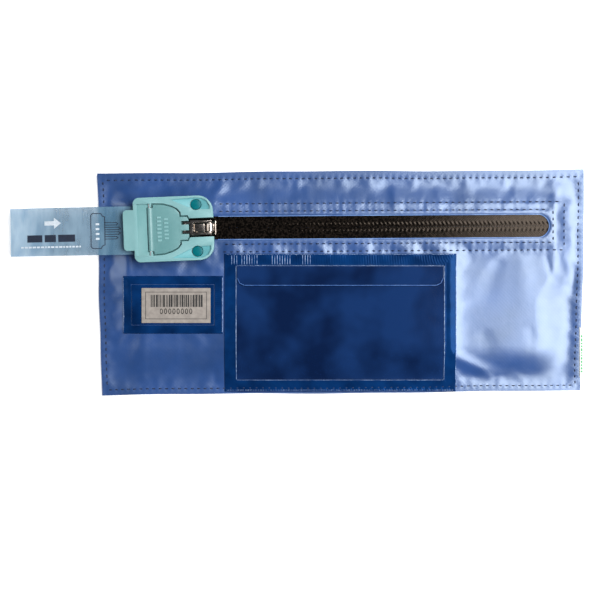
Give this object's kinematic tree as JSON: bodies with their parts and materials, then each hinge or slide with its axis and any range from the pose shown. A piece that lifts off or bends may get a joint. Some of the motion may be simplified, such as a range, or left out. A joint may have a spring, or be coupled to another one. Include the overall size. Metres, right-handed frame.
{
  "type": "cash deposit bag",
  "caption": "Flat zipped deposit bag with a moulded lock over the zip slider, a pull-out seal flag, a label window and a clear card pocket.",
  "frame": {"origin": "centre of the back face, on the surface the bag lies on", "axes": "+X along the bag's length away from the lock, +Y across the bag from the card pocket to the zip, +Z out of the front panel"},
  "size_m": [0.357, 0.138, 0.0142],
  "materials": {
    "coated_cloth": "woven nylon with a satin vinyl coating",
    "sewing_thread": "dark blue bonded thread",
    "zip_tape": "black woven tape",
    "zip_coil": "black nylon coil",
    "bright_steel": "plain",
    "dark_chrome": "black-nickel plated, polished",
    "mint_plastic": "moulded, satin",
    "teal_plastic": "moulded, smooth",
    "printed_film": "translucent printed film",
    "seal_plastic": "moulded, translucent",
    "welded_vinyl": "ribbed weld in glossy vinyl",
    "clear_vinyl": "clear blue vinyl film",
    "label_paper": "printed",
    "woven_tag": "folded woven ribbon"
  },
  "bodies": {
    "bag": {"back_panel": "coated_cloth", "front_panel": "coated_cloth", "perimeter_thread": "sewing_thread", "zip_thread_inner": "sewing_thread", "zip_thread_outer": "sewing_thread", "zip_tape_upper": "zip_tape", "zip_tape_lower": "zip_tape", "zip_coil_upper": "zip_coil", "zip_coil_lower": "zip_coil", "zip_top_stop_upper": "bright_steel", "zip_top_stop_lower": "bright_steel", "zip_bottom_stop": "bright_steel", "lock_base": "mint_plastic", "lock_backing_plate": "mint_plastic", "flap_hinge_pin": "bright_steel", "rivet_upper": "teal_plastic", "rivet_lower": "teal_plastic", "label_window_frame": "welded_vinyl", "card_pocket_frame": "welded_vinyl", "label_window_film": "clear_vinyl", "card_pocket_film": "clear_vinyl", "barcode_label": "label_paper", "side_label": "woven_tag"},
    "slider": {"slider_body": "dark_chrome", "slider_bridge": "dark_chrome"},
    "puller": {"slider_puller": "dark_chrome"},
    "flap": {"lock_flap": "mint_plastic"},
    "seal": {"seal_flag": "printed_film", "seal_tongue": "seal_plastic"},
    "pocket_flap": {"card_pocket_flap": "clear_vinyl"}
  },
  "joints": [
    {"name": "slider_travel", "type": "slide", "parent": "bag", "child": "slider", "axis": [1, 0.0065, 0], "range_m": [0, 0.203], "deforming": ["zip_coil_upper", "zip_coil_lower"]},
    {"name": "puller_swing", "type": "hinge", "parent": "slider", "child": "puller", "pos_m": [-0.081, 0.03376, 0.012], "axis": [-0.0065, 1, 0], "range_deg": [0, 165]},
    {"name": "flap_hinge", "type": "hinge", "parent": "bag", "child": "flap", "pos_m": [-0.11759, 0.03232, 0.0121], "axis": [0.0401, -0.9992, 0], "range_deg": [0, 105]},
    {"name": "seal_pull", "type": "slide", "parent": "bag", "child": "seal", "axis": [-0.9998, -0.0175, 0], "range_m": [0, 0.045]},
    {"name": "pocket_flap_lift", "type": "hinge", "parent": "bag", "child": "pocket_flap", "pos_m": [0, 0.01, 0.0077], "axis": [-1, 0, 0], "range_deg": [0, 110]}
  ]
}
